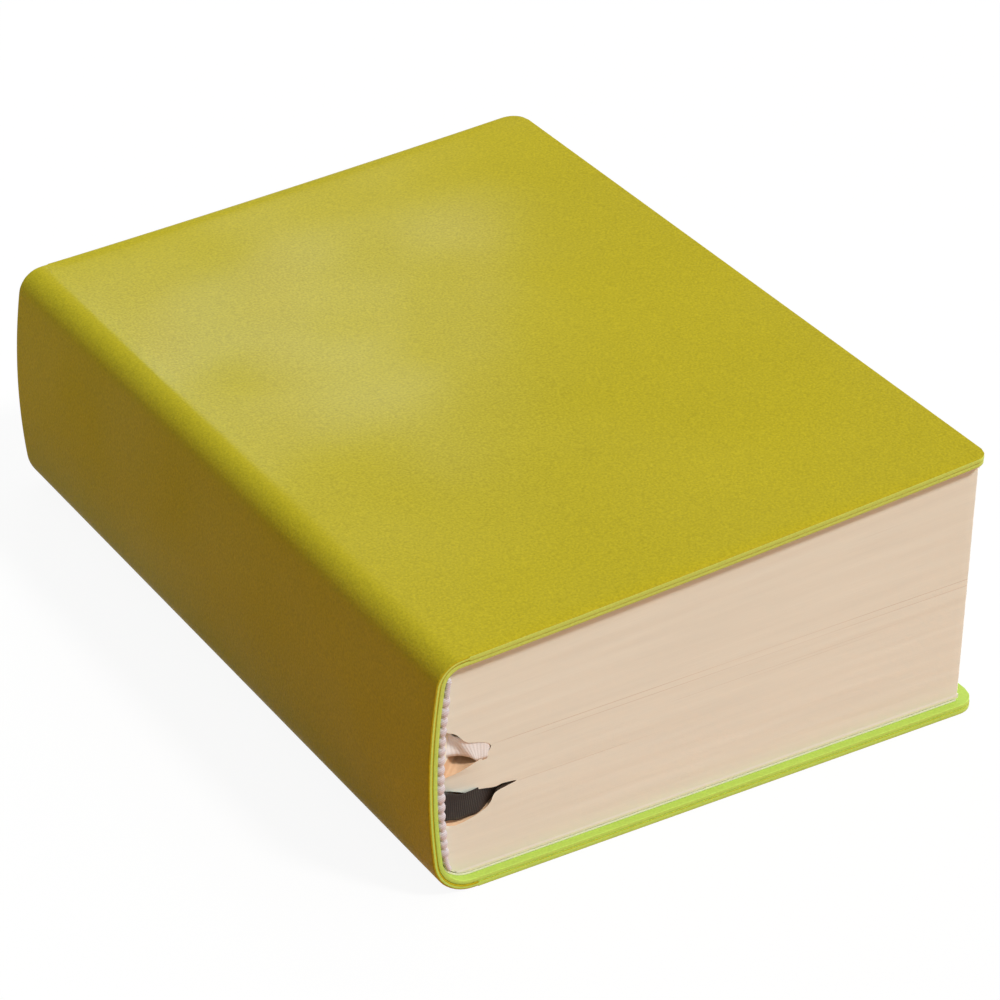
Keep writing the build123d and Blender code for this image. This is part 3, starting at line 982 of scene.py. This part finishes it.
weave, given, result = group("satin weave", {"Ribs": 26.0, "Slubs": 0.5}, ("Height", "Tone"))
woven = add(weave, "ShaderNodeUVMap", uv_map="woven").outputs[0]
stretched = add(weave, "ShaderNodeVectorMath", {0: woven, 1: (0.25, 1.0, 1.0)}, operation="MULTIPLY")
slubs = clouds(weave, stretched.outputs[0], 5.0, 2.0)
rib_inputs = {"Vector": woven, "Scale": given["Ribs"], "Distortion": 1.2, "Detail": 1.0}
ribs = add(weave, "ShaderNodeTexWave", rib_inputs, bands_direction="Y").outputs["Fac"]
check_inputs = {"Vector": woven, "Scale": 0.9, "Distortion": 0.8}
checks = add(weave, "ShaderNodeTexWave", check_inputs, bands_direction="X").outputs["Fac"]
half_ribs = maths(weave, "MULTIPLY", ribs, 0.5)
weave.links.new(maths(weave, "MULTIPLY_ADD", checks, 0.4, ribs), result["Height"])
weave.links.new(maths(weave, "MULTIPLY_ADD", slubs, given["Slubs"], half_ribs), result["Tone"])


def satin(name, colour, contrast, ribs, shine):
    """Woven satin, with its fine ribs across the ribbon."""
    material, tree, surface = shader(name, 0.45, shine)
    threads = place(tree, weave, {"Ribs": ribs, "Slubs": 0.5})
    tree.links.new(toned(tree, colour, threads["Tone"], contrast), surface.inputs["Base Color"])
    pressed(tree, surface, threads["Height"], 0.35)
    return material


def glued_start(height):
    """The stations on the spine, and round its corner to the head of the leaves."""
    outside = spine_x(height) - glue_gap
    upright = (0.0, 0.0, 1.0)
    places = ((0.0, 13.0), (0.0, 6.0), (0.0, 0.12), (0.3, -glue_gap))
    return [((outside + across, square + along, height), upright) for across, along in places]


def flat_end(slot, foot_x, level):
    """The stations from the slot between the leaves to the tail's cut end."""
    start = Vector((slot, square + mouth_depth, level))
    end = Vector((foot_x, foot_side + tail_path[0][0], level))
    along = (end - start).normalized()
    across = (along.y, -along.x, 0.0)
    stations = [(tuple(start.lerp(end, i / 12)), across) for i in range(12)]
    for reach, drop in tail_path:
        stations.append(((foot_x, foot_side + reach, level - drop), (1.0, 0.0, 0.0)))
    return stations


def ribbon_mesh(name, stations, material):
    """A closed ribbon through the stations, each a middle point and the direction across the ribbon there."""
    middles = [Vector(middle) for middle, across in stations]
    sides = [Vector(across).normalized() for middle, across in stations]
    last = len(stations) - 1
    centres, acrosses = [], []
    for i in range(last):
        picked = [max(0, i - 1), i, i + 1, min(last, i + 2)]
        steps = max(2, min(16, round((middles[i + 1] - middles[i]).length / 0.3)))
        for step in range(steps + (i == last - 1)):
            centres.append(between([middles[k] for k in picked], step / steps))
            acrosses.append(between([sides[k] for k in picked], step / steps).normalized())
    form = bmesh.new()
    uv = form.loops.layers.uv.new("woven")
    kept = form.verts.layers.float_vector.new("place on ribbon")
    rings = []
    run_so_far = 0.0
    for i, (centre, across) in enumerate(zip(centres, acrosses)):
        before, after = centres[max(0, i - 1)], centres[min(len(centres) - 1, i + 1)]
        run_so_far += (centre - before).length
        out = across.cross(after - before).normalized() * ribbon_half_thick
        ring = []
        for side in (1, -1):
            for k in range(9):
                share = (k / 4 - 1) * side
                thick = out * side * (thin_selvedge if k in (0, 8) else 1.0)
                point = form.verts.new(in_frame(*(centre + across * ribbon_half * share + thick)))
                point[kept] = Vector((share * ribbon_half, run_so_far, 0.0))
                ring.append(point)
        rings.append(ring)
    form.faces.new(rings[0])
    form.faces.new(rings[-1])
    for first, second in zip(rings, rings[1:]):
        for k in range(18):
            form.faces.new((first[k], first[(k + 1) % 18], second[(k + 1) % 18], second[k]))
    bmesh.ops.recalc_face_normals(form, faces=form.faces)
    for made in form.faces:
        made.smooth = len(made.verts) == 4
        for corner in made.loops:
            corner[uv].uv = corner.vert[kept].xy
    mesh = bpy.data.meshes.new(name)
    form.to_mesh(mesh)
    form.free()
    mesh.materials.append(material)
    return mesh


white_material = satin("white satin", white_satin_colour, 0.03, 0.5, 0.4)
brown_material = satin("brown satin", brown_satin_colour, 0.5, 0.8, 0.2)
white_bends = [
    ((0.9, -0.19, 29.0), (0.0, 0.0, 1.0)), ((2.0, 1.1, 28.8), (0.0, 0.05, 0.99)),
    ((3.0, 1.6, 28.5), (-0.1, 0.1, 0.99)), ((4.2, 1.35, 28.0), (-0.35, 0.1, 0.93)),
    ((5.2, 0.6, 27.4), (-0.5, 0.1, 0.86)), ((6.4, 0.26, 26.95), (-0.35, 0.1, 0.93)),
    ((8.0, 0.22, 26.75), (-0.05, 0.05, 0.99)), ((10.1, 0.26, 26.7), (0.1, 0.05, 0.99)),
    ((11.2, 1.3, 26.6), (0.5, 0.1, 0.86)), ((12.2, 5.0, 26.5), (0.85, 0.05, 0.5)),
    ((13.3, 9.0, 26.4), (0.97, 0.0, 0.2)),
]
brown_bends = [
    ((2.2, -0.19, 17.1), (0.0, 0.0, 1.0)), ((4.2, -0.15, 16.3), (0.0, -0.1, 0.99)),
    ((6.8, 0.0, 16.15), (0.05, -0.1, 0.99)), ((9.3, 0.5, 15.9), (0.2, 0.05, 0.97)),
    ((12.6, 1.6, 15.9), (0.55, -0.1, 0.8)), ((14.6, 4.0, 16.6), (0.85, -0.15, 0.5)),
    ((16.0, 8.0, 17.2), (0.97, -0.15, 0.15)),
]
for node, bends, slot_x, level, foot_x, material in (
    ("white_ribbon", white_bends, white_slot, white_level, 24.0, white_material),
    ("brown_ribbon", brown_bends, brown_slot, brown_level, 33.0, brown_material),
):
    stations = glued_start(bends[0][0][2])
    stations += [((x, square + depth, z), across) for (x, depth, z), across in bends]
    stations += flat_end(slot_x, foot_x, level)
    mesh = ribbon_mesh(node.replace("_", " "), stations, material)
    new_piece(node + "_woven", mesh, "block", node.split("_")[0] + "_satin", node)
